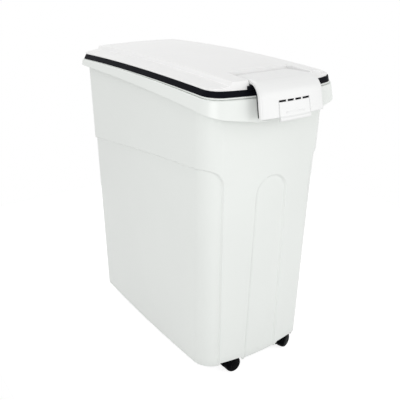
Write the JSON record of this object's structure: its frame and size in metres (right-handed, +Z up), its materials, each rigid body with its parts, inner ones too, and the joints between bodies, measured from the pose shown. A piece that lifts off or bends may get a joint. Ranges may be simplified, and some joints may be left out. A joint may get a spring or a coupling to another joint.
{
  "type": "pet food storage container",
  "caption": "Tall translucent-white bin on swivel casters with a crowned hinged lid, black rim seal and a front snap latch with a release flap, for dry pet food.",
  "frame": {"origin": "middle of the bounding box, on the floor under the wheels", "axes": "+X across the width to the right seen from the front, +Y from the latch at the front to the hinge at the back, +Z up"},
  "size_m": [0.293, 0.569, 0.6035],
  "materials": {
    "tub_plastic": "satin, slightly translucent",
    "lid_plastic": "satin",
    "latch_plastic": "gloss",
    "seal_rubber": "soft matt with fine lengthwise lines",
    "caster_plastic": "matt",
    "wheel_plastic": "semi-gloss",
    "pin_steel": "plain"
  },
  "bodies": {
    "tub_body": {"tub": "tub_plastic", "hinge_pin_left": "pin_steel", "hinge_pin_right": "pin_steel", "caster_stem_front_left": "pin_steel", "caster_stem_front_right": "pin_steel", "caster_stem_back_left": "pin_steel", "caster_stem_back_right": "pin_steel"},
    "lid_body": {"lid": "lid_plastic", "lid_seal": "seal_rubber", "latch_pin": "pin_steel"},
    "latch_body": {"latch_hood": "latch_plastic"},
    "flap_body": {"release_flap": "latch_plastic"},
    "caster_front_left": {"caster_yoke_front_left": "caster_plastic", "caster_axle_front_left": "pin_steel"},
    "wheel_outer_front_left": {"wheel_outer_front_left": "wheel_plastic"},
    "wheel_inner_front_left": {"wheel_inner_front_left": "wheel_plastic"},
    "caster_front_right": {"caster_yoke_front_right": "caster_plastic", "caster_axle_front_right": "pin_steel"},
    "wheel_outer_front_right": {"wheel_outer_front_right": "wheel_plastic"},
    "wheel_inner_front_right": {"wheel_inner_front_right": "wheel_plastic"},
    "caster_back_left": {"caster_yoke_back_left": "caster_plastic", "caster_axle_back_left": "pin_steel"},
    "wheel_outer_back_left": {"wheel_outer_back_left": "wheel_plastic"},
    "wheel_inner_back_left": {"wheel_inner_back_left": "wheel_plastic"},
    "caster_back_right": {"caster_yoke_back_right": "caster_plastic", "caster_axle_back_right": "pin_steel"},
    "wheel_outer_back_right": {"wheel_outer_back_right": "wheel_plastic"},
    "wheel_inner_back_right": {"wheel_inner_back_right": "wheel_plastic"}
  },
  "joints": [
    {"name": "lid_hinge", "type": "hinge", "parent": "tub_body", "child": "lid_body", "pos_m": [0, 0.27865, 0.5726], "axis": [-1, 0, 0], "range_deg": [0, 100]},
    {"name": "latch_swing", "type": "hinge", "parent": "lid_body", "child": "latch_body", "pos_m": [0, -0.19595, 0.5892], "axis": [-1, 0, 0], "range_deg": [0, 95]},
    {"name": "flap_press", "type": "hinge", "parent": "latch_body", "child": "flap_body", "pos_m": [0, -0.27458, 0.565], "axis": [-1, 0, 0], "range_deg": [0, 10], "stiffness_Nm_per_rad": 1},
    {"name": "swivel_front_left", "type": "hinge", "parent": "tub_body", "child": "caster_front_left", "pos_m": [-0.069, -0.19395, 0.044], "axis": [0, 0, 1], "continuous": true},
    {"name": "roll_outer_front_left", "type": "hinge", "parent": "caster_front_left", "child": "wheel_outer_front_left", "pos_m": [-0.05901, -0.1936, 0.017], "axis": [-0.0349, 0.9994, 0], "continuous": true},
    {"name": "roll_inner_front_left", "type": "hinge", "parent": "caster_front_left", "child": "wheel_inner_front_left", "pos_m": [-0.05901, -0.1936, 0.017], "axis": [-0.0349, 0.9994, 0], "continuous": true},
    {"name": "swivel_front_right", "type": "hinge", "parent": "tub_body", "child": "caster_front_right", "pos_m": [0.069, -0.19395, 0.044], "axis": [0, 0, 1], "continuous": true},
    {"name": "roll_outer_front_right", "type": "hinge", "parent": "caster_front_right", "child": "wheel_outer_front_right", "pos_m": [0.07827, -0.1902, 0.017], "axis": [-0.3746, 0.9272, 0], "continuous": true},
    {"name": "roll_inner_front_right", "type": "hinge", "parent": "caster_front_right", "child": "wheel_inner_front_right", "pos_m": [0.07827, -0.1902, 0.017], "axis": [-0.3746, 0.9272, 0], "continuous": true},
    {"name": "swivel_back_left", "type": "hinge", "parent": "tub_body", "child": "caster_back_left", "pos_m": [-0.069, 0.20305, 0.044], "axis": [0, 0, 1], "continuous": true},
    {"name": "roll_outer_back_left", "type": "hinge", "parent": "caster_back_left", "child": "wheel_outer_back_left", "pos_m": [-0.0591, 0.20444, 0.017], "axis": [-0.1392, 0.9903, 0], "continuous": true},
    {"name": "roll_inner_back_left", "type": "hinge", "parent": "caster_back_left", "child": "wheel_inner_back_left", "pos_m": [-0.0591, 0.20444, 0.017], "axis": [-0.1392, 0.9903, 0], "continuous": true},
    {"name": "swivel_back_right", "type": "hinge", "parent": "tub_body", "child": "caster_back_right", "pos_m": [0.069, 0.20305, 0.044], "axis": [0, 0, 1], "continuous": true},
    {"name": "roll_outer_back_right", "type": "hinge", "parent": "caster_back_right", "child": "wheel_outer_back_right", "pos_m": [0.07866, 0.20046, 0.017], "axis": [0.2588, 0.9659, 0], "continuous": true},
    {"name": "roll_inner_back_right", "type": "hinge", "parent": "caster_back_right", "child": "wheel_inner_back_right", "pos_m": [0.07866, 0.20046, 0.017], "axis": [0.2588, 0.9659, 0], "continuous": true}
  ]
}
